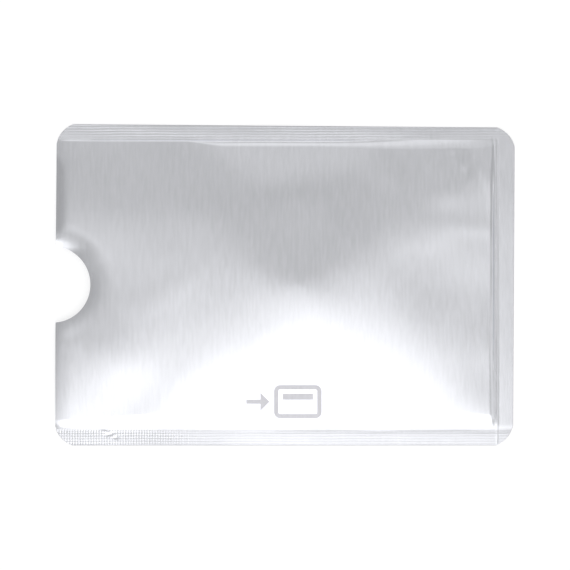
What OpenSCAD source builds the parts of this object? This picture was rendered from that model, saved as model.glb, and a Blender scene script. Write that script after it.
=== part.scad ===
// Foil card sleeve: two laminated film walls, heat-sealed on three sides, open at the mouth.
// It lies flat on its back wall. +X runs from the mouth to the closed end, +Z up through the front wall.
// The origin is the middle of the underside.

/* [Card] */
// Length of the card that slides in
card_length = 85.6; // [80:0.1:90]
// Width of the card
card_width = 53.98; // [50:0.02:60]
// Thickness of the card
card_thickness = 0.76; // [0.5:0.02:1.2]
// Room beside the card, on each long side
side_play = 1.5; // [1.4:0.05:3]
// Room past the card at the closed end
end_play = 1.9; // [1.4:0.05:4]
// Room above the card in the mouth
lift_play = 0.1; // [0.05:0.01:0.5]

/* [Heat seals] */
// Width of the knurled seal along the upper long edge, at the mouth
top_seal_width = 3.65; // [2.5:0.05:6]
// Width of the knurled seal along the lower long edge
bottom_seal_width = 3.1; // [2:0.05:6]
// Width of the plain seal across the closed end
end_seal_width = 4; // [2.5:0.05:6]
// Width of the pressed bead beside the pocket's closed end
bead_width = 0.8; // [0.4:0.05:1.5]
// Height of that bead
bead_height = 0.06; // [0.02:0.01:0.15]

/* [Cut edges] */
// Degrees by which the mouth, the closed end and the upper edge are cut askew to the seals
cut_skew = 0.45; // [0:0.05:0.8]
// Radius of the corner punch
corner_radius = 5.5; // [4:0.25:7]
// How far the corner punch's arc runs past each long edge
long_edge_nip = 0.45; // [0:0.05:0.8]
// How far the corner punch's arc runs past the mouth and the closed end
short_edge_nip = 0.15; // [0:0.05:0.6]
// Diameter of the thumb notch
notch_diameter = 15.1; // [10:0.1:20]
// Distance from the mouth's edge out to the notch's centre
notch_setback = 0.6; // [0:0.1:3]

/* [Pocket form] */
// Width of the shoulder that rises from a seal to the front wall
shoulder_width = 1.35; // [0.8:0.05:1.4]
// Height that the front wall swells above the flat pocket
crown_height = 0.9; // [0.3:0.05:2]
// Height that the mouth gapes beyond the card's slot
mouth_gape = 0.5; // [0:0.05:1]

/* [Laminate] */
// Thickness of the metallised outer film
outer_film = 0.04; // [0.02:0.005:0.1]
// Thickness of the aluminium foil
foil = 0.03; // [0.02:0.005:0.1]
// Thickness of the inner film that melts in the seals
seal_film = 0.08; // [0.04:0.005:0.2]
// Thickness of the printed ink
ink = 0.02; // [0.01:0.005:0.05]

/* [Printed mark] */
// Length of the printed card outline
mark_card_length = 9.4; // [6:0.1:12]
// Height of the printed card outline
mark_card_height = 6.6; // [4:0.1:8]
// Corner radius of the printed card outline
mark_corner = 1.2; // [0.8:0.1:2]
// Width of the printed lines
mark_line = 0.85; // [0.5:0.05:1]
// Height of the printed stripe inside the card outline
mark_stripe = 1.2; // [0.6:0.05:1.5]
// Length of the printed arrow
mark_arrow_length = 4.6; // [3:0.1:6]
// Height of the printed arrow's head
mark_arrow_head = 3.6; // [2:0.1:5]
// Gap between the arrow's tip and the card outline
mark_gap = 0.9; // [0.5:0.05:2]
// Distance from the lower seal up to the mark
mark_lift = 0.9; // [0.5:0.05:5]

/* [Hidden] */
$fn = 96;

pocket_width = card_width + 2 * side_play;
pocket_length = card_length + end_play;
sleeve_width = pocket_width + top_seal_width + bottom_seal_width;
sleeve_length = pocket_length + end_seal_width;
slot_height = card_thickness + lift_play;
skew_x = sleeve_width * tan(cut_skew);
skew_y = sleeve_length * tan(cut_skew);

// Edges and creases of the sleeve in plan
mouth_x = -sleeve_length / 2;
end_x = sleeve_length / 2;
crease_x = mouth_x + pocket_length;
bottom_y = -sleeve_width / 2;
top_y = sleeve_width / 2;
lower_crease_y = bottom_y + bottom_seal_width;
upper_crease_y = top_y - top_seal_width;
pocket_x = (mouth_x + crease_x) / 2;
pocket_y = (lower_crease_y + upper_crease_y) / 2;

// The flat pocket ends where the shoulders begin
flat_end_x = crease_x - shoulder_width;
flat_bottom_y = lower_crease_y + shoulder_width;
flat_top_y = upper_crease_y - shoulder_width;

// How far a cutting shape passes what it cuts
past_edge = 1;

// Heights through the seals, from the table up
back_foil_z = outer_film;
back_seal_z = back_foil_z + foil;
front_foil_z = back_seal_z + 2 * seal_film;
cut_depth = front_foil_z + slot_height + crown_height + mouth_gape + past_edge;

// The grid on which the swelling walls are drawn
pocket_columns = 16;
pocket_rows = 12;
shoulder_steps = 4;
bead_steps = 2;

// 0 at a crease, 1 one shoulder's width into the pocket
function shoulder(inward) =
    0.5 - 0.5 * cos(180 * min(max(inward / shoulder_width, 0), 1));

// 1 in the middle of a span, 0 at its two ends and outside
function swell(offset, half_span) = max(0, 1 - pow(offset / half_span, 2));

// 1 at the mouth and 0 at the closed end
function openness(x) = max(0, (crease_x - x) / pocket_length);

// 1 on top of the bead and 0 beside it
function bead(x) = max(0, 1 - abs(x - crease_x - bead_width / 2) / (bead_width / 2));

// Height of the underside of the front foil
function front(x, y) =
    let (
        side = shoulder(min(y - lower_crease_y, upper_crease_y - y)),
        ridge = crown_height * swell(x - pocket_x, pocket_length / 2) + mouth_gape * openness(x)
    )
    front_foil_z
    + slot_height * side * shoulder(crease_x - x)
    + ridge * swell(y - pocket_y, pocket_width / 2)
    + bead_height * side * bead(x);

// Evenly spaced places from one end of a span to the other
function steps(from, to, count) = [for (i = [0:count]) from + (to - from) * i / count];

// Several spans as one list, where each begins at the end of the one before
function joined(spans) = [
    for (i = [0:len(spans) - 1])
        for (place = spans[i])
            if (i == 0 || place != spans[i][0]) place
];

flat_columns = steps(mouth_x, flat_end_x, pocket_columns);
shoulder_columns = steps(flat_end_x, crease_x, shoulder_steps);
seal_columns = joined([steps(crease_x, crease_x + bead_width, bead_steps), [crease_x + bead_width, end_x]]);
lower_rows = steps(lower_crease_y, flat_bottom_y, shoulder_steps);
flat_rows = steps(flat_bottom_y, flat_top_y, pocket_rows);
upper_rows = steps(flat_top_y, upper_crease_y, shoulder_steps);

all_columns = joined([flat_columns, shoulder_columns, seal_columns]);
all_rows = joined([[bottom_y, lower_crease_y], lower_rows, flat_rows, upper_rows, [upper_crease_y, top_y]]);

// A closed block over a grid of columns and rows, between two height functions
module block(columns, rows, low, high) {
    nx = len(columns);
    ny = len(rows);
    lift = nx * ny;
    function at(i, j) = j * nx + i;
    points = [
        for (height = [low, high])
            for (y = rows)
                for (x = columns)
                    [x, y, height(x, y)]
    ];
    cells = [
        for (j = [0:ny - 2])
            for (i = [0:nx - 2])
                [at(i, j), at(i + 1, j), at(i + 1, j + 1), at(i, j + 1)]
    ];
    rim = concat(
        [for (i = [0:nx - 2]) [at(i, 0), at(i + 1, 0)]],
        [for (j = [0:ny - 2]) [at(nx - 1, j), at(nx - 1, j + 1)]],
        [for (i = [nx - 1:-1:1]) [at(i, ny - 1), at(i - 1, ny - 1)]],
        [for (j = [ny - 1:-1:1]) [at(0, j), at(0, j - 1)]]
    );
    polyhedron(
        points,
        concat(
            [for (c = cells) [c[0], c[1], c[2]]],
            [for (c = cells) [c[0], c[2], c[3]]],
            [for (c = cells) [c[2] + lift, c[1] + lift, c[0] + lift]],
            [for (c = cells) [c[3] + lift, c[2] + lift, c[0] + lift]],
            [for (r = rim) [r[1], r[0], r[0] + lift, r[1] + lift]]
        )
    );
}

// What the punch takes from one corner: sx and sy point out of the sleeve there
module corner_waste(corner, sx, sy) {
    reach = corner_radius + past_edge;
    center = [
        corner[0] - sx * (corner_radius - short_edge_nip),
        corner[1] - sy * (corner_radius - long_edge_nip)
    ];
    difference() {
        translate([center[0] + (sx < 0 ? -reach : 0), center[1] + (sy < 0 ? -reach : 0)])
            square(reach);
        translate(center)
            circle(corner_radius);
    }
}

// The sleeve in plan, with its cuts askew, punched corners and thumb notch
module outline() {
    lower_mouth = [mouth_x, bottom_y];
    lower_end = [end_x - skew_x, bottom_y];
    upper_end = [end_x, top_y - skew_y];
    upper_mouth = [mouth_x + skew_x, top_y];
    difference() {
        polygon([lower_mouth, lower_end, upper_end, upper_mouth]);
        translate([mouth_x + skew_x / 2 - notch_setback, 0])
            circle(d = notch_diameter);
        corner_waste(lower_mouth, -1, -1);
        corner_waste(lower_end, 1, -1);
        corner_waste(upper_end, 1, 1);
        corner_waste(upper_mouth, -1, 1);
    }
}

// Cuts a block of film to the sleeve's outline
module die_cut() {
    intersection() {
        linear_extrude(cut_depth)
            outline();
        children();
    }
}

// A plan rectangle from one corner to the other
module plate(low_x, low_y, high_x, high_y) {
    translate([low_x, low_y])
        square([high_x - low_x, high_y - low_y]);
}

module back_outer_film() {
    color("silver")
        linear_extrude(outer_film)
            outline();
}

module back_foil() {
    color("gainsboro")
        translate([0, 0, back_foil_z])
            linear_extrude(foil)
                outline();
}

// The back wall's inner film lies between the seals, where it hasn't melted
module back_seal_film() {
    color("whitesmoke")
        translate([0, 0, back_seal_z])
            linear_extrude(seal_film)
                intersection() {
                    outline();
                    plate(mouth_x, lower_crease_y, crease_x, upper_crease_y);
                }
}

// One long edge's seal: both inner films melted together, and the lip that rises into the pocket
module side_seal(band_low, band_high, lip_rows) {
    color("white")
        die_cut()
            union() {
                translate([0, 0, back_seal_z])
                    linear_extrude(front_foil_z - back_seal_z)
                        plate(mouth_x, band_low, end_x, band_high);
                block(
                    joined([flat_columns, shoulder_columns]),
                    lip_rows,
                    function (x, y) front(x, y) - seal_film,
                    function (x, y) front(x, y)
                );
            }
}

module top_side_seal() {
    side_seal(upper_crease_y, top_y, upper_rows);
}

module bottom_side_seal() {
    side_seal(bottom_y, lower_crease_y, lower_rows);
}

// The closed end's seal between the two side seals, with its bead and lip
module end_seal() {
    color("white")
        die_cut()
            union() {
                block(
                    seal_columns,
                    joined([lower_rows, flat_rows, upper_rows]),
                    function (x, y) back_seal_z,
                    function (x, y) front(x, y)
                );
                block(
                    shoulder_columns,
                    flat_rows,
                    function (x, y) front(x, y) - seal_film,
                    function (x, y) front(x, y)
                );
            }
}

module front_seal_film() {
    color("whitesmoke")
        die_cut()
            block(
                flat_columns,
                flat_rows,
                function (x, y) front(x, y) - seal_film,
                function (x, y) front(x, y)
            );
}

module front_foil() {
    color("gainsboro")
        die_cut()
            block(
                all_columns,
                all_rows,
                function (x, y) front(x, y),
                function (x, y) front(x, y) + foil
            );
}

module front_outer_film() {
    color("silver")
        die_cut()
            block(
                all_columns,
                all_rows,
                function (x, y) front(x, y) + foil,
                function (x, y) front(x, y) + foil + outer_film
            );
}

// A rectangle with round corners, from its lower left corner
module round_plate(length, height, radius) {
    translate([radius, 0])
        square([length - 2 * radius, height]);
    translate([0, radius])
        square([length, height - 2 * radius]);
    for (x = [radius, length - radius])
        for (y = [radius, height - radius])
            translate([x, y])
                circle(radius);
}

// The mark in plan: an arrow that points to the outline of a card with its stripe
module mark_plan() {
    card_x = mark_arrow_length + mark_gap;
    middle_y = mark_card_height / 2;
    head_length = mark_arrow_head / 2;
    difference() {
        translate([card_x, 0])
            round_plate(mark_card_length, mark_card_height, mark_corner);
        translate([card_x + mark_line, mark_line])
            square([mark_card_length - 2 * mark_line, mark_card_height - 2 * mark_line]);
    }
    translate([card_x + 2 * mark_line, mark_card_height - 2 * mark_line - mark_stripe])
        square([mark_card_length - 4 * mark_line, mark_stripe]);
    translate([0, middle_y - mark_line / 2])
        square([mark_arrow_length - head_length, mark_line]);
    polygon([
        [mark_arrow_length - head_length, middle_y - mark_arrow_head / 2],
        [mark_arrow_length, middle_y],
        [mark_arrow_length - head_length, middle_y + mark_arrow_head / 2]
    ]);
}

module printed_mark() {
    mark_length = mark_arrow_length + mark_gap + mark_card_length;
    color("darkgray")
        intersection() {
            translate([-mark_length / 2, flat_bottom_y + mark_lift, 0])
                linear_extrude(cut_depth)
                    mark_plan();
            block(
                flat_columns,
                flat_rows,
                function (x, y) front(x, y) + foil + outer_film,
                function (x, y) front(x, y) + foil + outer_film + ink
            );
        }
}

back_outer_film();
back_foil();
back_seal_film();
top_side_seal();
bottom_side_seal();
end_seal();
front_seal_film();
front_foil();
front_outer_film();
printed_mark();
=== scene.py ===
"""Looks of the foil card sleeve: its film walls, seals and print, the light, the floor and the camera."""
import math

import bpy
import numpy as np
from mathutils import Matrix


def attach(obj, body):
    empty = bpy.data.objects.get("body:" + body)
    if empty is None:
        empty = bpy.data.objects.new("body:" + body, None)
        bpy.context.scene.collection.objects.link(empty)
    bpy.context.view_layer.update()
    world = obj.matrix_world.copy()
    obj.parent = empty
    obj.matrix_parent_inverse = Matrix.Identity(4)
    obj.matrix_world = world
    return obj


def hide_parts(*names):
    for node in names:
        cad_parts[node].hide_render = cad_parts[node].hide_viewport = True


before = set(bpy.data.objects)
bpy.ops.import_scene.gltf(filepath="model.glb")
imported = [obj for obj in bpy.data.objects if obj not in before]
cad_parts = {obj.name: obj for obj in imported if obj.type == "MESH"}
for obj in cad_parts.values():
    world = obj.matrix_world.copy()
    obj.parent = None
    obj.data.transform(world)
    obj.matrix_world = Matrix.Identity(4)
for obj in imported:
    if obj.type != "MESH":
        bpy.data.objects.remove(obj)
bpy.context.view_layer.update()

# Everything below is drawn in millimetres, in the part's own frame, and scaled once when a mesh is made
MM = 0.001

# Plan of the sleeve, within half a millimetre of the part's source
MOUTH_X = -45.4
END_X = 45.75
BOTTOM_Y = -31.865
TOP_Y = 31.78

# How far the mouth's cut, the closed end's cut and the upper cut are out of square
MOUTH_SKEW = 0.3
END_SKEW = 0.37
SKEW_Y = 0.7187

# Corners, where the cutter leaves a small nip on both edges, and the thumb notch
CORNER_RADIUS = 5.5
LONG_EDGE_NIP = 0.45
SHORT_EDGE_NIP = 0.15
NOTCH_RADIUS = 7.55
NOTCH_X = -45.9
NOTCH_TIP_Y = 7.5
NOTCH_END_Y = 7.53

# Creases between the pocket and its seals
LOWER_CREASE_Y = -28.765
UPPER_CREASE_Y = 28.75
CREASE_X = 41.95
CREASE_WAVE_REACH = 2.6
CREASE_SLOW_WAVE = 0.1
CREASE_QUICK_WAVE = 0.03
CREASE_FAINT_WAVE = 0.05
CREASE_WAVES_BEGIN = (2.0, 14.0)
POCKET_Y = (LOWER_CREASE_Y + UPPER_CREASE_Y) / 2
POCKET_HALF_WIDTH = (UPPER_CREASE_Y - LOWER_CREASE_Y) / 2
POCKET_LENGTH = CREASE_X - MOUTH_X

# Shoulders inside the creases. In a tuple of changes each entry says where a value starts to change, where it
# stops, and by how much it changes
END_SHOULDER = 0.8
UPPER_SHOULDER_AT_MOUTH = 0.4
UPPER_SHOULDER_CHANGES = ((-20.0, -11.0, 1.2), (5.0, 25.0, 0.4))
UPPER_SHOULDER_WIDTH = 2.0
UPPER_FOLD_POWER = 2.4
LOWER_SHOULDER_AT_MOUTH = 2.0
LOWER_SHOULDER_CHANGES = ((-46.0, -21.0, 1.2),)
LOWER_SHOULDER_WIDTH = 3.2
FLAT_END_X = CREASE_X - END_SHOULDER
FLAT_BOTTOM_Y = LOWER_CREASE_Y + LOWER_SHOULDER_WIDTH
FLAT_TOP_Y = UPPER_CREASE_Y - UPPER_SHOULDER_WIDTH

# Melted film that runs into the pocket from the long seals, and that shows past the cut edges as a thin dark
# strip, which is painted shade along the outline
SEAL_LIP = 1.35
RIM = 0.08

# Layers from the table up
OUTER_FILM = 0.04
FOIL = 0.03
SEAL_FILM = 0.08
INK = 0.02
BACK_FOIL_Z = OUTER_FILM
BACK_SEAL_Z = BACK_FOIL_Z + FOIL
FRONT_FOIL_Z = BACK_SEAL_Z + 2 * SEAL_FILM
SLOT_HEIGHT = 0.86

# How far the front foil sinks into the melted long seals, and over what width it gets there
SEAL_SINK = 0.04
SEAL_SINK_WIDTH = 0.2
END_SINK_WIDTH = 0.1

# The empty pocket's swell: a soft four-sided roof with its peak a little towards the closed end
CROWN = 1.3
CROWN_X = 2.5
CROWN_Y = 0.0
CROWN_CORNERS = 2.1
CROWN_SLOPE = 1.5
MOUTH_GAPE = 0.5

# Rim that curls down at the mouth, along y, with a flat place just above the notch
LIP_WIDTH = 3.6
LIP_DROP = 0.36
LIP_POWER = 3
LIP_AT_BOTTOM = 0.36
LIP_CHANGES = ((-19.0, -11.0, 0.04), (-4.0, 4.0, 0.6), (22.0, 27.0, -0.8))
LIP_REST = 0.95
LIP_REST_Y = 8.8
LIP_REST_WIDTH = 2.5

# Rim that curls down round the notch, more over its upper half
RIM_WIDTH = 5.2
RIM_DROP = 0.3
RIM_POWER = 2.2
RIM_CHANGES = ((4.0, 7.5, 0.6),)

# Knurl of the two long seals: squares at the mouth that wear down to lines, and a fresher press at the mouth
KNURL_PITCH = 0.53
KNURL_DEPTH = 0.009
KNURL_FADE = 0.25
KNURL_LOWER_SHARE = 0.7
KNURL_BACK_SHARE = 0.8
KNURL_WEAR = 0.25
KNURL_SQUARES = ((-30.0, -8.0, -0.85),)
KNURL_FRESH = 2.8
KNURL_FRESH_CHANGES = ((-36.0, -8.0, -1.8),)

# Bead in the end seal, beside the pocket: it runs faintly on through the long seals
BEAD_WIDTH = 0.7
BEAD_HEIGHT = 0.075
BEAD_SHARE_IN_SEALS = 0.12

# Furrow along the lower crease, deeper towards the closed end
GROOVE_WIDTH = 0.6
GROOVE_AT_MOUTH = 0.003
GROOVE_CHANGES = ((-8.0, 6.0, 0.01),)

# The upper seal's arch, higher about its middle, and how the lower seal thins near the mouth
ARCH = 0.01
ARCH_TURN = 0.003
ARCH_MIDDLE = 0.008
ARCH_MIDDLE_X = 5.0
ARCH_MIDDLE_WIDTH = 20.0
THINNING = 0.018
THINNING_STOPS = (-34.0, -22.0)

# How the sleeve lies: a slight roll, and the end seal's curl and dip
ROLL = 0.03
END_CURL_CHANGES = ((-32.0, 32.0, 0.022), (12.0, 26.0, -0.016))
END_CURL_TURN = 0.001
END_DIP = 0.04
END_DIP_Y = 4.0
END_DIP_WIDTH = 12.0

# Swells and hollows of the front wall: height, middle, radii and turn
PUFFS = (
    # A broad swell along the upper side, which steepens the wall beside the seal
    (0.26, (4.0, 20.0), (18.0, 7.0), 15.0),
    (0.16, (-16.0, 28.0), (13.0, 5.0), -35.0),
    # A pinch and a dimple towards the upper closed corner
    (-0.10, (21.0, 22.0), (3.0, 4.0), 25.0),
    (0.08, (31.0, 18.0), (4.5, 3.5), -15.0),
    # Two ridges that meet at the closed end, with a hollow under them and one further down
    (0.07, (37.0, 10.6), (9.0, 2.8), -12.0),
    (0.05, (29.5, 8.0), (6.0, 4.5), 0.0),
    (-0.04, (38.0, 4.0), (6.0, 4.0), 0.0),
    (-0.09, (42.0, -19.0), (7.0, 5.5), -10.0),
    # The puffed middle, longer on two diagonals
    (0.22, (3.0, -11.0), (17.0, 9.0), 45.0),
    (0.17, (-12.0, 11.0), (16.0, 9.0), -60.0),
    (0.25, (18.0, 9.0), (10.0, 13.0), 35.0),
    # A ridge and two dimples in the upper closed corner
    (0.09, (38.6, 23.0), (1.8, 5.5), 22.0),
    (-0.035, (33.6, 25.2), (1.6, 1.1), 0.0),
    (-0.035, (36.0, 22.2), (1.1, 1.2), 0.0),
    # A hollow and a ridge beside the thumb notch, and a hollow and a ridge by the lower mouth corner
    (-0.07, (-42.0, -5.0), (6.5, 6.0), 0.0),
    (0.11, (-23.0, 2.0), (9.0, 6.0), 25.0),
    (-0.13, (-26.0, -23.0), (10.0, 6.0), -20.0),
    (0.10, (-24.0, -26.0), (15.0, 5.5), 45.0),
)

# A scar in the lower seal near the mouth, and two small dents in the bead: height, middle, radii and turn
DENTS = (
    (-0.035, (-34.4, -29.7), (0.9, 0.25), 15.0),
    (0.03, (-35.4, -29.2), (0.8, 0.25), -10.0),
    (-0.03, (-33.4, -30.4), (0.5, 0.3), 0.0),
    (-0.03, (42.3, -18.6), (0.3, 0.35), 0.0),
    (-0.03, (42.4, -24.0), (0.35, 0.3), 0.0),
)

# The generic mark: an arrow that points at a card
MARK_CARD_LENGTH = 9.4
MARK_CARD_HEIGHT = 6.6
MARK_CORNER = 1.2
MARK_LINE = 0.85
MARK_STRIPE = 1.2
MARK_ARROW_LENGTH = 4.6
MARK_ARROW_HEAD = 3.6
MARK_GAP = 0.9
MARK_LIFT = 2.25
MARK_LENGTH = MARK_ARROW_LENGTH + MARK_GAP + MARK_CARD_LENGTH
MARK_X = -MARK_LENGTH / 2
MARK_Y = LOWER_CREASE_Y + MARK_LIFT

# Mesh spacings: a strip along the mouth and the whole closed end are finer than the pocket
POCKET_STEP = 0.5
FINE_STEP = 0.15
MOUTH_STEP = 0.22
MOUTH_STRIP = 2.2
KNURL_STEP = 0.133
KNURL_ROW_STEP = 0.12
FOLD_ROW_STEP = 0.09
PLATEAU_ROW_STEP = 0.6
PLAIN_ROW_STEP = 0.5
NOTCH_ROW_COUNT = 41
SHARP_ANGLE = 50.0

# Mesh spacings of the mark, and the narrowest gap in its meshes
RING_STEP = 0.5
STRIPE_STEP = 0.4
STRIPE_ROW_STEP = 0.3
ARROW_STEP = 0.25
SHAFT_ROW_STEP = 0.2
CORNER_STEPS = 8
SLIVER = 0.02


# Camera

CAMERA_X = 0.21
CAMERA_Y = -0.10
CAMERA_HEIGHT = 600.0
CAMERA_LENS = 190.8


def make_camera():
    """A long lens straight above the sleeve."""
    data = bpy.data.cameras.new("camera")
    data.lens = CAMERA_LENS
    data.sensor_width = 36.0
    data.clip_start = 0.01
    data.clip_end = 10.0
    camera = bpy.data.objects.new("camera", data)
    camera.location = (CAMERA_X * MM, CAMERA_Y * MM, CAMERA_HEIGHT * MM)
    bpy.context.collection.objects.link(camera)
    bpy.context.scene.camera = camera


# Small curves


def ease(t):
    """A smooth step from 0 to 1 as t goes from 0 to 1."""
    t = np.clip(t, 0.0, 1.0)
    return t * t * (3.0 - 2.0 * t)


def rise(t, start, stop):
    """A smooth step from 0 to 1 as t goes from start to stop."""
    return ease((t - start) / (stop - start))


def changed(t, value, changes):
    """The value at t, after each smooth change on the way."""
    for start, stop, change in changes:
        value = value + change * rise(t, start, stop)
    return value


def ramp(t):
    """Half a cosine wave from 0 to 1 as t goes from 0 to 1."""
    return 0.5 - 0.5 * np.cos(np.pi * np.clip(t, 0.0, 1.0))


def bell(t, middle, width):
    """1 at the middle, fading out on both sides."""
    return np.exp(-(((t - middle) / width) ** 2))


def puff(x, y, at, size, turn=0.0):
    """A soft round or long bump of height 1: at is its middle, size its two radii, turn in degrees."""
    angle = math.radians(turn)
    dx = x - at[0]
    dy = y - at[1]
    u = (dx * math.cos(angle) + dy * math.sin(angle)) / size[0]
    v = (dy * math.cos(angle) - dx * math.sin(angle)) / size[1]
    return np.exp(-(u * u + v * v))


# Plan of the cut edges


def mouth_line(y):
    return MOUTH_X + MOUTH_SKEW * (y - BOTTOM_Y) / (TOP_Y - BOTTOM_Y)


def end_line(y):
    return END_X - END_SKEW * (TOP_Y - SKEW_Y - y) / (TOP_Y - SKEW_Y - BOTTOM_Y)


def arc_reach(radius, offset):
    return math.sqrt(max(radius ** 2 - offset ** 2, 0.0))


def left_edge(y):
    """x of the cut edge on the mouth side at height y."""
    x = mouth_line(y)
    low = BOTTOM_Y + CORNER_RADIUS - LONG_EDGE_NIP
    high = TOP_Y - CORNER_RADIUS + LONG_EDGE_NIP
    inset = CORNER_RADIUS - SHORT_EDGE_NIP
    if y < low:
        x = max(x, MOUTH_X + inset - arc_reach(CORNER_RADIUS, low - y))
    if y > high:
        x = max(x, MOUTH_X + MOUTH_SKEW + inset - arc_reach(CORNER_RADIUS, y - high))
    if abs(y) < NOTCH_RADIUS:
        x = max(x, NOTCH_X + arc_reach(NOTCH_RADIUS, y))
    return x


def right_edge(y):
    """x of the cut edge on the closed side at height y."""
    x = end_line(y)
    low = BOTTOM_Y + CORNER_RADIUS - LONG_EDGE_NIP
    high = TOP_Y - SKEW_Y - CORNER_RADIUS + LONG_EDGE_NIP
    inset = CORNER_RADIUS - SHORT_EDGE_NIP
    if y < low:
        x = min(x, END_X - END_SKEW - inset + arc_reach(CORNER_RADIUS, low - y))
    if y > high:
        x = min(x, END_X - inset + arc_reach(CORNER_RADIUS, y - high))
    return x


def crease_wave(x):
    """How far the lower crease wanders to and fro along the sleeve, more towards the closed end."""
    slow = CREASE_SLOW_WAVE * np.sin(x / 4.1 + 0.6)
    quick = CREASE_QUICK_WAVE * np.sin(x / 1.7)
    faint = CREASE_FAINT_WAVE * np.sin(x / 5.3)
    return rise(x, *CREASE_WAVES_BEGIN) * (slow + quick) + faint


def place(x, v):
    """y of the mesh row v at x: rows follow the askew upper cut and the wandering lower crease."""
    fan = np.clip((v - UPPER_CREASE_Y) / (TOP_Y - UPPER_CREASE_Y), 0.0, 1.0)
    along = (x - MOUTH_X) / (END_X - MOUTH_X)
    near = np.clip(1.0 - np.abs(v - LOWER_CREASE_Y) / CREASE_WAVE_REACH, 0.0, 1.0)
    return v - fan * SKEW_Y * along + crease_wave(x) * near


def beyond_crease(x, y):
    """How far a point lies outside the nearer long crease, below 0 in the pocket."""
    return np.where(y > 0.0, y - UPPER_CREASE_Y, LOWER_CREASE_Y + crease_wave(x) - y)


# Form of the walls


def crown(x, y):
    """The swell of the empty pocket above its flat slot."""
    reach_x = np.where(x < CROWN_X, CROWN_X - MOUTH_X, CREASE_X - CROWN_X)
    reach_y = np.where(y < CROWN_Y, CROWN_Y - LOWER_CREASE_Y, UPPER_CREASE_Y - CROWN_Y)
    far_x = np.abs(x - CROWN_X) / reach_x
    far_y = np.abs(y - CROWN_Y) / reach_y
    radius = (far_x ** CROWN_CORNERS + far_y ** CROWN_CORNERS + 1e-6) ** (1.0 / CROWN_CORNERS)
    roof = CROWN * (1.0 - radius ** CROWN_SLOPE)
    across = np.clip(1.0 - ((y - POCKET_Y) / POCKET_HALF_WIDTH) ** 2, 0.0, None)
    gape = MOUTH_GAPE * np.clip((CREASE_X - x) / POCKET_LENGTH, 0.0, None) * across
    return roof + gape


def lip(x, y):
    """The drop of the rims at the mouth and round the notch, which is flatter at the mouth's corners."""
    from_mouth = np.clip(1.0 - (x - mouth_line(y)) / LIP_WIDTH, 0.0, 1.0)
    strength = changed(y, LIP_AT_BOTTOM, LIP_CHANGES)
    strength = strength * (1.0 - LIP_REST * bell(y, LIP_REST_Y, LIP_REST_WIDTH))
    from_notch = np.hypot(x - NOTCH_X, y) - NOTCH_RADIUS
    rim = np.clip(1.0 - from_notch / RIM_WIDTH, 0.0, 1.0)
    round_it = changed(y, 1.0, RIM_CHANGES)
    return LIP_DROP * strength * from_mouth ** LIP_POWER + RIM_DROP * round_it * rim ** RIM_POWER


def sides(x, y):
    """0 in the long seals, 1 in the pocket: the upper fold starts steep and rounds off slowly."""
    lower_width = changed(x, LOWER_SHOULDER_AT_MOUTH, LOWER_SHOULDER_CHANGES)
    upper_width = changed(x, UPPER_SHOULDER_AT_MOUTH, UPPER_SHOULDER_CHANGES)
    from_lower = (y - LOWER_CREASE_Y - crease_wave(x)) / lower_width
    from_upper = np.clip((UPPER_CREASE_Y - y) / upper_width, 0.0, 1.0)
    return ramp(from_lower) * (1.0 - (1.0 - from_upper) ** UPPER_FOLD_POWER)


def inside(x, y):
    """0 in the seals, 1 in the pocket."""
    return sides(x, y) * ramp((CREASE_X - x) / END_SHOULDER)


def sag(x, y):
    """How the whole sleeve lies: never quite flat, and touching the table here and there."""
    roll = np.sin(x / 17.0 + 0.4) * np.sin(y / 11.0 + 1.1) + np.sin(x / 29.0 - y / 23.0)
    margin = np.clip(x - CREASE_X, 0.0, None)
    curl = margin * (changed(y, 0.0, END_CURL_CHANGES) - END_CURL_TURN * margin)
    dip = END_DIP * bell(y, END_DIP_Y, END_DIP_WIDTH) * ease(margin / BEAD_WIDTH)
    return ROLL * np.clip(roll + 1.0, 0.0, None) + curl - dip


def bow(x, y):
    """The long seals aren't quite flat: the upper one arches, and the lower one thins near the mouth."""
    upper = np.clip(y - UPPER_CREASE_Y, 0.0, None)
    lower = np.clip(LOWER_CREASE_Y + crease_wave(x) - y, 0.0, None)
    middle = ARCH_MIDDLE * bell(x, ARCH_MIDDLE_X, ARCH_MIDDLE_WIDTH)
    arch = upper * (ARCH + middle - ARCH_TURN * upper)
    return arch - THINNING * lower * (1.0 - rise(x, *THINNING_STOPS))


def groove(x, y):
    """The fine furrow that the sealing bar leaves along the lower crease."""
    depth = changed(x, GROOVE_AT_MOUTH, GROOVE_CHANGES)
    return depth * bell(y, LOWER_CREASE_Y + crease_wave(x), GROOVE_WIDTH)


def front(x, y):
    """Height of the underside of the front foil."""
    pocket = inside(x, y)
    swell = SLOT_HEIGHT + crown(x, y) - lip(x, y)
    for height, at, size, turn in PUFFS:
        swell = swell + height * puff(x, y, at, size, turn)
    z = FRONT_FOIL_Z + swell * pocket
    for height, at, size, turn in DENTS:
        z = z + height * puff(x, y, at, size, turn)
    half = BEAD_WIDTH / 2
    bead = ramp(1.0 - np.abs(x - CREASE_X - half) / half)
    share = BEAD_SHARE_IN_SEALS + (1.0 - BEAD_SHARE_IN_SEALS) * sides(x, y)
    return z + BEAD_HEIGHT * share * bead - groove(x, y) + bow(x, y) + sag(x, y)


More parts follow.
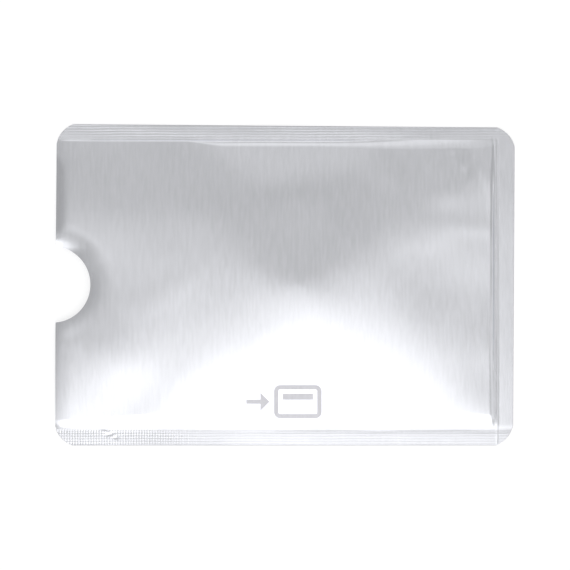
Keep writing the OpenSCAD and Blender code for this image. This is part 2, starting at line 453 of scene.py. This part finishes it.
def knurl(x, y):
    """How deep the sealing bars press into the film: fine squares near the mouth, worn lines further on."""
    fade = ease(beyond_crease(x, y) / KNURL_FADE)
    wander = 0.03 * np.sin(x / 3.7) + 0.02 * np.sin(x / 1.3 + y)
    squares = changed(x, 1.0, KNURL_SQUARES)
    worn = 1.0 - KNURL_WEAR + KNURL_WEAR * np.sin(x / 5.9 + 2.1 * y)
    along = 0.5 - 0.5 * np.cos(2 * np.pi * x / KNURL_PITCH)
    across = 0.5 - 0.5 * np.cos(2 * np.pi * (y + wander) / KNURL_PITCH)
    side = np.where(y > 0.0, 1.0, KNURL_LOWER_SHARE)
    depth = KNURL_DEPTH * side * changed(x, KNURL_FRESH, KNURL_FRESH_CHANGES)
    return depth * fade * worn * (0.5 * across + 0.5 * squares * along)


# Height functions of the layers, from the table up


def back_film_low(x, y):
    return sag(x, y) + KNURL_BACK_SHARE * knurl(x, y)


def back_film_top(x, y):
    return sag(x, y) + BACK_FOIL_Z


def back_foil_top(x, y):
    return sag(x, y) + BACK_SEAL_Z


def back_lining_top(x, y):
    return sag(x, y) + BACK_SEAL_Z + SEAL_FILM


def end_seal_low(x, y):
    """The end seal's underside: on the back foil in the band, under the lining on the shoulder."""
    on_band = ease((x - CREASE_X) / END_SINK_WIDTH)
    lip_low = front_lining_low(x, y)
    return lip_low + (back_foil_top(x, y) - lip_low) * on_band


def front_lining_low(x, y):
    return front(x, y) - SEAL_FILM


def front_foil_low(x, y):
    """The front foil's underside, which sinks a little where the long seals have melted."""
    return front(x, y) - SEAL_SINK * ease(beyond_crease(x, y) / SEAL_SINK_WIDTH)


def front_foil_top(x, y):
    return front_foil_low(x, y) + FOIL


def front_film_top(x, y):
    return front(x, y) + FOIL + OUTER_FILM - knurl(x, y)


def ink_top(x, y):
    return front_film_top(x, y) + INK


# Meshes made of rows of points


def spread(start, stop, step):
    """Even points from start to stop, about a step apart."""
    count = max(2, int(math.ceil((stop - start) / step)) + 1)
    return np.linspace(start, stop, count)


def joined(parts):
    """Runs of points in one, where each run starts at the last one's end."""
    return np.concatenate([parts[0]] + [part[1:] for part in parts[1:]])


def edge_at(edge, v):
    """Where row v meets a cut edge."""
    x = edge(v)
    for _ in range(3):
        x = edge(float(place(x, v)))
    return x


def row(v, step, start=None, stop=None, grow=0.0):
    """Points of mesh row v from the mouth to the closed end, closer together near both."""
    left = edge_at(left_edge, v) - grow if start is None else start
    right = edge_at(right_edge, v) + grow if stop is None else stop
    marks = [left]
    steps = []
    if left + MOUTH_STRIP < min(right, FLAT_END_X):
        marks.append(left + MOUTH_STRIP)
        steps.append(min(step, MOUTH_STEP))
    if left < FLAT_END_X < right:
        marks.append(FLAT_END_X)
        steps.append(step)
    marks.append(right)
    steps.append(min(step, FINE_STEP) if right > FLAT_END_X else step)
    xs = joined([spread(a, b, s) for a, b, s in zip(marks, marks[1:], steps)])
    return np.stack([xs, place(xs, v)], axis=1)


def zipped(first, second, xs_first, xs_second):
    """Triangles between two rows of points, each step going to whichever row is behind."""
    steps_first = len(xs_first) - 1
    order = np.argsort(np.concatenate([xs_first[1:], xs_second[1:]]), kind="stable")
    on_first = (order < steps_first).astype(int)
    i = first + np.cumsum(on_first) - on_first
    j = second + np.cumsum(1 - on_first) - (1 - on_first)
    third = np.where(on_first == 1, i + 1, j + 1)
    return np.stack([i, third, j], axis=1)


def fence(lower, upper):
    """Two triangles for each step along a closed loop, from its lower points to its upper ones."""
    lower_next = np.roll(lower, -1)
    upper_next = np.roll(upper, -1)
    return np.concatenate([
        np.stack([lower, lower_next, upper_next], axis=1),
        np.stack([lower, upper_next, upper], axis=1),
    ])


def raised(plan, low, high):
    """The points of a plan at both height functions, the lower ones first."""
    x = plan[:, 0]
    y = plan[:, 1]
    return np.concatenate([
        np.stack([x, y, low(x, y)], axis=1),
        np.stack([x, y, high(x, y)], axis=1),
    ])


def slab(rows, low, high):
    """A closed sheet between two height functions over rows of points: its points and triangles."""
    starts = np.concatenate([[0], np.cumsum([len(r) for r in rows])])
    plan = np.concatenate(rows)
    count = len(plan)
    faces = []
    for k in range(len(rows) - 1):
        faces.append(zipped(starts[k], starts[k + 1], rows[k][:, 0], rows[k + 1][:, 0]))
    faces = np.concatenate(faces)
    ring = list(range(starts[0], starts[1]))
    ring += [starts[k + 1] - 1 for k in range(1, len(rows))]
    ring += list(range(starts[-1] - 2, starts[-2] - 1, -1))
    ring += [starts[k] for k in range(len(rows) - 2, 0, -1)]
    ring = np.array(ring)
    faces = np.concatenate([faces[:, ::-1], faces + count, fence(ring, ring + count)])
    return raised(plan, low, high), faces


def ring_slab(outer, inner, low, high):
    """A closed ring between an outer and an inner loop with as many points, both anticlockwise."""
    plan = np.concatenate([outer, (outer + inner) / 2, inner])
    count = len(plan)
    loop = np.arange(len(outer))
    middle = loop + len(outer)
    last = middle + len(outer)
    top = np.concatenate([fence(loop, middle), fence(middle, last)])
    outside = fence(loop, loop + count)
    hole = fence(last, last + count)[:, ::-1]
    return raised(plan, low, high), np.concatenate([top[:, ::-1], top + count, outside, hole])


def piece(name, shapes, node, material):
    """A finished piece from one or more closed shapes, standing for a CAD node."""
    points = []
    faces = []
    base = 0
    for shape_points, shape_faces in shapes:
        points.append(shape_points * MM)
        faces.append(shape_faces + base)
        base += len(shape_points)
    points = np.concatenate(points)
    faces = np.concatenate(faces)
    mesh = bpy.data.meshes.new(name)
    mesh.vertices.add(len(points))
    mesh.vertices.foreach_set("co", points.astype(np.float32).ravel())
    mesh.loops.add(faces.size)
    mesh.loops.foreach_set("vertex_index", faces.astype(np.int32).ravel())
    mesh.polygons.add(len(faces))
    mesh.polygons.foreach_set("loop_start", np.arange(0, faces.size, 3, dtype=np.int32))
    mesh.update(calc_edges=True)
    mesh.validate()
    mesh.polygons.foreach_set("use_smooth", np.ones(len(mesh.polygons), dtype=bool))
    mesh.set_sharp_from_angle(angle=math.radians(SHARP_ANGLE))
    mesh.materials.append(material)
    obj = bpy.data.objects.new(name, mesh)
    bpy.context.collection.objects.link(obj)
    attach(obj, "root")
    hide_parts(node)
    return obj


# Rows of the pieces

LOWER_LIP = spread(LOWER_CREASE_Y, LOWER_CREASE_Y + SEAL_LIP, FINE_STEP)
LOWER_SLOPE = spread(LOWER_CREASE_Y + SEAL_LIP, FLAT_BOTTOM_Y, FINE_STEP)
PLATEAU = joined([
    spread(FLAT_BOTTOM_Y, -NOTCH_END_Y, PLATEAU_ROW_STEP),
    NOTCH_TIP_Y * np.sin(np.linspace(-math.pi / 2, math.pi / 2, NOTCH_ROW_COUNT)),
    spread(NOTCH_END_Y, FLAT_TOP_Y, PLATEAU_ROW_STEP),
])
UPPER_SLOPE = spread(FLAT_TOP_Y, UPPER_CREASE_Y - SEAL_LIP, FOLD_ROW_STEP)
UPPER_LIP = spread(UPPER_CREASE_Y - SEAL_LIP, UPPER_CREASE_Y, FOLD_ROW_STEP)
POCKET = joined([LOWER_LIP, LOWER_SLOPE, PLATEAU, UPPER_SLOPE, UPPER_LIP])


def film_rows():
    """Rows of an outer film: fine in the knurled seals, wider in the pocket."""
    rows = [row(v, KNURL_STEP) for v in spread(BOTTOM_Y, LOWER_CREASE_Y, KNURL_ROW_STEP)]
    rows += [row(v, POCKET_STEP) for v in POCKET[1:-1]]
    rows += [row(v, KNURL_STEP) for v in spread(UPPER_CREASE_Y, TOP_Y, KNURL_ROW_STEP)]
    return rows


def layer_rows():
    """Rows of a layer under an outer film, which has no knurl."""
    lower = spread(BOTTOM_Y, LOWER_CREASE_Y, PLAIN_ROW_STEP)
    upper = spread(UPPER_CREASE_Y, TOP_Y, PLAIN_ROW_STEP)
    return [row(v, POCKET_STEP) for v in joined([lower, POCKET, upper])]


def lining_rows():
    """Rows of a seal film, which ends where the melted seals begin."""
    levels = joined([LOWER_SLOPE, PLATEAU, UPPER_SLOPE])
    return [row(v, POCKET_STEP, stop=FLAT_END_X) for v in levels]


def lip_rows(levels):
    """Rows of the melted lip that runs into the pocket beside a long seal."""
    return [row(v, POCKET_STEP, stop=FLAT_END_X) for v in levels]


def band_rows(start, stop):
    """Rows of a long seal's band, which shows a little past the cut edges as a strip of painted edge shade.
    """
    return [row(v, POCKET_STEP, grow=RIM) for v in spread(start, stop, PLAIN_ROW_STEP)]


def end_seal_rows():
    """Rows of the closed end's seal, from the pocket's shoulder to a little past the cut edge, where it shows
    as painted edge shade.
    """
    return [row(v, FINE_STEP, start=FLAT_END_X, grow=RIM) for v in POCKET[1:-1]]


def long_seal(lips, band):
    """A long seal's two shapes: its lip on the front wall's shoulder, and its band between the foils."""
    return [
        slab(lips, front_lining_low, front_foil_low),
        slab(band, back_foil_top, front_foil_low),
    ]


# The mark


def rounded_loop(length, height, radius, inset):
    """Points round a card with rounded corners, anticlockwise, moved in by an inset."""
    points = []
    corners = (
        (length - radius, radius, -90.0),
        (length - radius, height - radius, 0.0),
        (radius, height - radius, 90.0),
        (radius, radius, 180.0),
    )
    reach = max(radius - inset, 0.05)
    for cx, cy, start in corners:
        for k in range(CORNER_STEPS + 1):
            angle = math.radians(start + 90.0 * k / CORNER_STEPS)
            points.append((cx + reach * math.cos(angle), cy + reach * math.sin(angle)))
    return np.array(points)


def card_ring():
    """The card's outline, its long sides cut into short steps that follow the film."""
    origin = np.array([MARK_X + MARK_ARROW_LENGTH + MARK_GAP, MARK_Y])
    outer = rounded_loop(MARK_CARD_LENGTH, MARK_CARD_HEIGHT, MARK_CORNER, 0.0)
    inner = rounded_loop(MARK_CARD_LENGTH, MARK_CARD_HEIGHT, MARK_CORNER, MARK_LINE)
    both = np.concatenate([outer, inner], axis=1)
    dense = []
    for a, b in zip(both, np.roll(both, -1, axis=0)):
        count = max(1, int(math.ceil(np.hypot(*(b - a)[:2]) / RING_STEP)))
        dense += [a + (b - a) * k / count for k in range(count)]
    dense = np.array(dense)
    return ring_slab(dense[:, :2] + origin, dense[:, 2:] + origin, front_film_top, ink_top)


def stripe():
    """The stripe near the card's upper edge."""
    x = MARK_X + MARK_ARROW_LENGTH + MARK_GAP + 2 * MARK_LINE
    y = MARK_Y + MARK_CARD_HEIGHT - 2 * MARK_LINE - MARK_STRIPE
    xs = spread(x, x + MARK_CARD_LENGTH - 4 * MARK_LINE, STRIPE_STEP)
    levels = spread(y, y + MARK_STRIPE, STRIPE_ROW_STEP)
    rows = [np.stack([xs, np.full(len(xs), v)], axis=1) for v in levels]
    return slab(rows, front_film_top, ink_top)


def arrow():
    """The arrow: a shaft, and a head whose rows shorten to a point on both sides."""
    middle = MARK_Y + MARK_CARD_HEIGHT / 2
    half_head = MARK_ARROW_HEAD / 2
    half_line = MARK_LINE / 2
    tip = MARK_X + MARK_ARROW_LENGTH
    neck = tip - half_head
    head_low = spread(-half_head, -half_line, ARROW_STEP)
    shaft = spread(-half_line + SLIVER, half_line - SLIVER, SHAFT_ROW_STEP)
    rows = []
    for v in list(head_low) + list(shaft) + list(-head_low[::-1]):
        start = MARK_X if abs(v) < half_line - SLIVER / 2 else neck
        stop = max(tip - abs(v), start + SLIVER)
        xs = spread(start, stop, ARROW_STEP)
        rows.append(np.stack([xs, np.full(len(xs), middle + v)], axis=1))
    return slab(rows, front_film_top, ink_top)


# Materials

NOISE_LOW = 0.3
NOISE_HIGH = 0.7
FILM_STREAKS = (2.0, 0.3, 0.3)
FILM_FINE_STREAKS = (9.0, 0.25, 0.25)
FILM_CLOUD = (0.08, 0.08, 0.08)
FILM_DARK = (0.85, 0.855, 0.886)
FILM_LIGHT = (0.91, 0.915, 0.948)
FILM_ROUGHNESS = (0.165, 0.175)
FILM_CLOUD_ROUGHNESS = (0.0, 0.03)
FILM_RELIEF = 0.0002


def new_material(name):
    material = bpy.data.materials.new(name)
    material.use_nodes = True
    tree = material.node_tree
    shader = tree.nodes["Principled BSDF"]
    return material, tree, shader


def new_node(tree, kind, **settings):
    made = tree.nodes.new(kind)
    for key, value in settings.items():
        setattr(made, key, value)
    return made


def noise(tree, scale, detail=3.0, roughness=0.5):
    """Noise over the object's own coordinates: scale is cycles per millimetre along x, y and z."""
    coordinates = new_node(tree, "ShaderNodeTexCoord")
    mapping = new_node(tree, "ShaderNodeMapping")
    mapping.inputs["Scale"].default_value = [s / MM for s in scale]
    texture = new_node(tree, "ShaderNodeTexNoise")
    texture.inputs["Scale"].default_value = 1.0
    texture.inputs["Detail"].default_value = detail
    texture.inputs["Roughness"].default_value = roughness
    tree.links.new(coordinates.outputs["Object"], mapping.inputs["Vector"])
    tree.links.new(mapping.outputs["Vector"], texture.inputs["Vector"])
    return texture.outputs["Fac"]


def spread_out(tree, value, low=0.0, high=1.0):
    """The noise value stretched from its usual range onto low to high."""
    between = new_node(tree, "ShaderNodeMapRange")
    between.inputs["From Min"].default_value = NOISE_LOW
    between.inputs["From Max"].default_value = NOISE_HIGH
    between.inputs["To Min"].default_value = low
    between.inputs["To Max"].default_value = high
    tree.links.new(value, between.inputs["Value"])
    return between.outputs["Result"]


def mixed(tree, factor, first, second):
    mix = new_node(tree, "ShaderNodeMix", data_type="RGBA")
    mix.inputs["A"].default_value = (*first, 1.0)
    mix.inputs["B"].default_value = (*second, 1.0)
    tree.links.new(factor, mix.inputs["Factor"])
    return mix.outputs["Result"]


def bump(tree, value, relief):
    """A shading normal from a noise value, with the relief's height in millimetres."""
    made = new_node(tree, "ShaderNodeBump")
    made.inputs["Strength"].default_value = 1.0
    made.inputs["Distance"].default_value = relief * MM
    tree.links.new(value, made.inputs["Height"])
    return made.outputs["Normal"]


def film_material():
    """Metallised film: satin aluminium with fine streaks across the sleeve and faint handling marks."""
    material, tree, shader = new_material("outer_film")
    shader.inputs["Metallic"].default_value = 1.0
    streaks = noise(tree, FILM_STREAKS, roughness=0.75)
    fine = noise(tree, FILM_FINE_STREAKS, detail=2.0)
    cloud = noise(tree, FILM_CLOUD)
    tone = mixed(tree, spread_out(tree, streaks), FILM_DARK, FILM_LIGHT)
    tree.links.new(tone, shader.inputs["Base Color"])
    rough = spread_out(tree, streaks, *FILM_ROUGHNESS)
    rough = plus(tree, rough, spread_out(tree, cloud, *FILM_CLOUD_ROUGHNESS))
    tree.links.new(rough, shader.inputs["Roughness"])
    tree.links.new(bump(tree, fine, FILM_RELIEF), shader.inputs["Normal"])
    return material


def grained_material(name, grain, tones, rough, relief, metallic=0.0):
    """A material with one grain that varies its tone, its roughness and its relief."""
    material, tree, shader = new_material(name)
    shader.inputs["Metallic"].default_value = metallic
    value = noise(tree, *grain)
    tone = mixed(tree, spread_out(tree, value), *tones)
    tree.links.new(tone, shader.inputs["Base Color"])
    tree.links.new(spread_out(tree, value, *rough), shader.inputs["Roughness"])
    tree.links.new(bump(tree, value, relief), shader.inputs["Normal"])
    return material


def foil_material():
    """Bare aluminium foil, seen at the cut edges."""
    grain = ((4.0, 0.3, 4.0), 3.0)
    tones = ((0.78, 0.78, 0.8), (0.88, 0.88, 0.9))
    return grained_material("foil", grain, tones, (0.3, 0.42), 0.003, metallic=1.0)


def lining_material():
    """Milky polyethylene over foil: soft grey with a waxy gloss."""
    grain = ((0.6, 0.6, 0.6), 4.0)
    tones = ((0.66, 0.67, 0.69), (0.76, 0.77, 0.79))
    return grained_material("seal_film", grain, tones, (0.36, 0.48), 0.01)


def seal_and_edge_shade_material():
    """Polyethylene melted between the walls, cut through at the edge; its grey is darkened so that the strips
    past the cut edges paint the shade along the outline.
    """
    grain = ((1.5, 1.5, 6.0), 4.0)
    # Partly the seal's own grey, partly painted shade: kept dark so that the strips past the cut edges draw a
    # dark outline
    tones = ((0.5, 0.5, 0.52), (0.62, 0.62, 0.64))
    return grained_material("melted_seal", grain, tones, (0.42, 0.55), 0.01)


def ink_material():
    """Thin grey print, slightly uneven where it lies on the film's streaks."""
    grain = ((3.0, 0.6, 3.0), 4.0, 0.6)
    tones = ((0.78, 0.77, 0.805), (0.86, 0.85, 0.885))
    return grained_material("ink", grain, tones, (0.5, 0.62), 0.004)


# Light and floor

# Strengths of the sky's parts over the ceiling's plain grey, and its slight tint
SKY_CEILING = 0.46
SKY_PANEL = 1.5
SKY_WEST = 0.47
SKY_EAST = 0.6
SKY_BACK = 0.2
SKY_HORIZON = 0.2
SKY_LOW_SIDE = 0.06
SKY_FILL = 0.5
SKY_CORNER = 0.6
SKY_BESIDE = 0.14
SKY_LOW = 0.12
SKY_TINT = (0.995, 1.0, 1.01)

# Where each part begins and where it is full, in parts of a direction of length 1
PANEL_EDGE = (-0.03, 0.0)
PANEL_EAST_LEAN = 0.93
PANEL_WEST_LEAN = 1.5
PANEL_UP = (0.55, 0.85)
STRIP_UP = (0.28, 0.42)
STRIP_ASIDE = (0.4, 0.2)
WEST_RISE = (0.02, 0.13)
WEST_FALL = (0.13, 0.31)
EAST_RISE = (0.04, 0.2)
EAST_FALL = (0.22, 0.42)
SIDE_NORTH = 0.05
SIDE_OFF_LINE = (0.02, 0.09)
BACK_NORTH = (0.14, 0.26)
BACK_WEST = (0.3, 0.08)
HORIZON_NORTH = (0.3, 0.8)
HORIZON_EAST = (0.03, 0.2)
FILL_ASIDE = (0.25, 0.45)
FILL_SOUTH = (-0.15, 0.2)
FILL_EAST = (0.0, 0.1)
CORNER_WEST = (0.13, 0.18)
CORNER_SOUTH = (0.15, 0.25)
BESIDE_WEST = (0.13, 0.18)
BESIDE_FAR_WEST = (0.32, 0.24)
BESIDE_SOUTH = (0.03, 0.1)
EXTRAS_UP = (0.15, 0.35)
LOW_UP = (0.35, 0.15)

# The floor, in metres, just under the sleeve, and its glow in view and in reflections
FLOOR_HALF_SIZE = 3.0
FLOOR_DROP = 0.00002
FLOOR_GREY = 0.42
FLOOR_GLOW = 0.72


def calculate(tree, operation, first, second=None):
    """A math node on sockets or numbers."""
    made = new_node(tree, "ShaderNodeMath", operation=operation)
    for slot_index, value in enumerate((first, second)):
        if value is None:
            continue
        if isinstance(value, (int, float)):
            made.inputs[slot_index].default_value = value
        else:
            tree.links.new(value, made.inputs[slot_index])
    return made.outputs["Value"]


def plus(tree, total, *others):
    for value in others:
        total = calculate(tree, "ADD", total, value)
    return total


def times(tree, total, *others):
    for value in others:
        total = calculate(tree, "MULTIPLY", total, value)
    return total


def without(tree, value):
    """What is left of 1."""
    return calculate(tree, "SUBTRACT", 1.0, value)


def step_up(tree, value, window, height=1.0):
    """0 where the window begins, height where it ends, and a soft rise between."""
    made = new_node(tree, "ShaderNodeMapRange", interpolation_type="SMOOTHSTEP")
    made.inputs["From Min"].default_value = window[0]
    made.inputs["From Max"].default_value = window[1]
    made.inputs["To Min"].default_value = 0.0
    made.inputs["To Max"].default_value = height
    tree.links.new(value, made.inputs["Value"])
    return made.outputs["Result"]


def sky_panel(tree, east, west, north, up):
    """1 in the white panel: overhead towards the south, with a narrow strip of it lower down."""
    east_lean = times(tree, calculate(tree, "MAXIMUM", east, 0.0), PANEL_EAST_LEAN)
    west_lean = times(tree, calculate(tree, "MAXIMUM", west, 0.0), PANEL_WEST_LEAN)
    reach = plus(tree, north, plus(tree, east_lean, west_lean))
    past_edge = step_up(tree, times(tree, reach, -1.0), PANEL_EDGE)
    overhead = step_up(tree, up, PANEL_UP)
    aside = calculate(tree, "ABSOLUTE", east)
    strip = times(tree, step_up(tree, up, STRIP_UP), step_up(tree, aside, STRIP_ASIDE))
    return times(tree, past_edge, calculate(tree, "MAXIMUM", overhead, strip))


def sky_sides(tree, east, west, north):
    """A paler patch on the west and on the east, close to the sleeve's length."""
    bright = plus(tree, step_up(tree, west, WEST_RISE, SKY_WEST), step_up(tree, east, EAST_RISE, SKY_EAST))
    fall = plus(tree, step_up(tree, west, WEST_FALL), step_up(tree, east, EAST_FALL))
    off_line = calculate(tree, "ABSOLUTE", calculate(tree, "SUBTRACT", north, SIDE_NORTH))
    kept = without(tree, step_up(tree, off_line, SIDE_OFF_LINE))
    return times(tree, bright, without(tree, fall), kept)


def sky_north(tree, east, west, north):
    """A paler patch in the north, and a paler band far down there that stops in the east."""
    back = times(tree, step_up(tree, north, BACK_NORTH, SKY_BACK), step_up(tree, west, BACK_WEST))
    horizon = step_up(tree, north, HORIZON_NORTH, SKY_HORIZON)
    return plus(tree, back, times(tree, horizon, without(tree, step_up(tree, east, HORIZON_EAST))))


def sky_south(tree, east, west, north):
    """Fill from the south-east, and two patches in the south-west that light the notch's rim."""
    south = times(tree, north, -1.0)
    fill = times(tree, step_up(tree, south, FILL_SOUTH, SKY_FILL), step_up(tree, east, FILL_EAST))
    fill = calculate(tree, "SUBTRACT", fill, SKY_LOW_SIDE)
    fill = times(tree, step_up(tree, calculate(tree, "ABSOLUTE", east), FILL_ASIDE), fill)
    corner = times(tree, step_up(tree, west, CORNER_WEST, SKY_CORNER), step_up(tree, south, CORNER_SOUTH))
    beside = times(tree, step_up(tree, west, BESIDE_WEST, SKY_BESIDE), step_up(tree, south, BESIDE_SOUTH))
    beside = times(tree, beside, step_up(tree, west, BESIDE_FAR_WEST))
    return plus(tree, fill, corner, beside)


def make_world():
    """Soft studio light: a white panel towards -Y, a grey ceiling, and paler patches around."""
    world = bpy.data.worlds.new("studio")
    bpy.context.scene.world = world
    world.use_nodes = True
    tree = world.node_tree
    coordinates = new_node(tree, "ShaderNodeTexCoord")
    split = new_node(tree, "ShaderNodeSeparateXYZ")
    tree.links.new(coordinates.outputs["Generated"], split.inputs[0])
    east = split.outputs["X"]
    north = split.outputs["Y"]
    up = split.outputs["Z"]
    west = times(tree, east, -1.0)
    extras = plus(
        tree,
        sky_sides(tree, east, west, north),
        sky_north(tree, east, west, north),
        sky_south(tree, east, west, north),
    )
    extras = times(tree, extras, step_up(tree, up, EXTRAS_UP))
    walls = plus(tree, extras, step_up(tree, up, LOW_UP, SKY_LOW), SKY_CEILING)
    panel = sky_panel(tree, east, west, north, up)
    light = plus(tree, times(tree, walls, without(tree, panel)), times(tree, panel, SKY_PANEL))
    colour = new_node(tree, "ShaderNodeCombineColor")
    for channel, tint in enumerate(SKY_TINT):
        tree.links.new(times(tree, light, tint), colour.inputs[channel])
    tree.links.new(colour.outputs["Color"], tree.nodes["Background"].inputs["Color"])


def make_floor():
    """A pale floor, brought up to white for the camera and in reflections, that keeps its shadows."""
    size = FLOOR_HALF_SIZE
    mesh = bpy.data.meshes.new("floor")
    corners = [(-size, -size, 0.0), (size, -size, 0.0), (size, size, 0.0), (-size, size, 0.0)]
    mesh.from_pydata(corners, [], [(0, 1, 2, 3)])
    floor = bpy.data.objects.new("floor", mesh)
    floor.location = (0.0, 0.0, -FLOOR_DROP)
    bpy.context.collection.objects.link(floor)
    material, tree, shader = new_material("floor")
    shader.inputs["Base Color"].default_value = (FLOOR_GREY, FLOOR_GREY, FLOOR_GREY, 1.0)
    shader.inputs["Roughness"].default_value = 0.9
    shader.inputs["Specular IOR Level"].default_value = 0.0
    rays = new_node(tree, "ShaderNodeLightPath")
    seen = calculate(tree, "MAXIMUM", rays.outputs["Is Camera Ray"], rays.outputs["Is Glossy Ray"])
    seen = calculate(tree, "MAXIMUM", seen, rays.outputs["Is Transmission Ray"])
    shader.inputs["Emission Color"].default_value = (1.0, 1.0, 1.0, 1.0)
    tree.links.new(times(tree, seen, FLOOR_GLOW), shader.inputs["Emission Strength"])
    mesh.materials.append(material)


# The pieces


def make_back(film, foil, lining, fine_rows, plain_rows, inner_rows):
    """The back wall, from the table up."""
    outer = [slab(fine_rows, back_film_low, back_film_top)]
    middle = [slab(plain_rows, back_film_top, back_foil_top)]
    inner = [slab(inner_rows, back_foil_top, back_lining_top)]
    piece("back_film", outer, "back_outer_film", film)
    piece("back_foil_layer", middle, "back_foil", foil)
    piece("back_lining", inner, "back_seal_film", lining)


def make_seals(seal):
    """The three welds between the walls."""
    upper = long_seal(lip_rows(UPPER_LIP[:-1]), band_rows(UPPER_CREASE_Y, TOP_Y + RIM))
    lower = long_seal(lip_rows(LOWER_LIP[1:]), band_rows(BOTTOM_Y - RIM, LOWER_CREASE_Y))
    closed = [slab(end_seal_rows(), end_seal_low, front_foil_low)]
    piece("upper_seal", upper, "top_side_seal", seal)
    piece("lower_seal", lower, "bottom_side_seal", seal)
    piece("closed_end_seal", closed, "end_seal", seal)


def make_front(film, foil, lining, fine_rows, plain_rows, inner_rows):
    """The front wall, from the pocket up, with the mark on it."""
    inner = [slab(inner_rows, front_lining_low, front_foil_low)]
    middle = [slab(plain_rows, front_foil_low, front_foil_top)]
    outer = [slab(fine_rows, front_foil_top, front_film_top)]
    piece("front_lining", inner, "front_seal_film", lining)
    piece("front_foil_layer", middle, "front_foil", foil)
    piece("front_film", outer, "front_outer_film", film)
    piece("mark", [card_ring(), stripe(), arrow()], "printed_mark", ink_material())


def make_sleeve():
    film = film_material()
    foil = foil_material()
    lining = lining_material()
    rows = (film_rows(), layer_rows(), lining_rows())
    make_back(film, foil, lining, *rows)
    make_seals(seal_and_edge_shade_material())
    make_front(film, foil, lining, *rows)


bpy.context.scene.view_settings.view_transform = "Standard"
make_camera()
make_sleeve()
make_world()
make_floor()
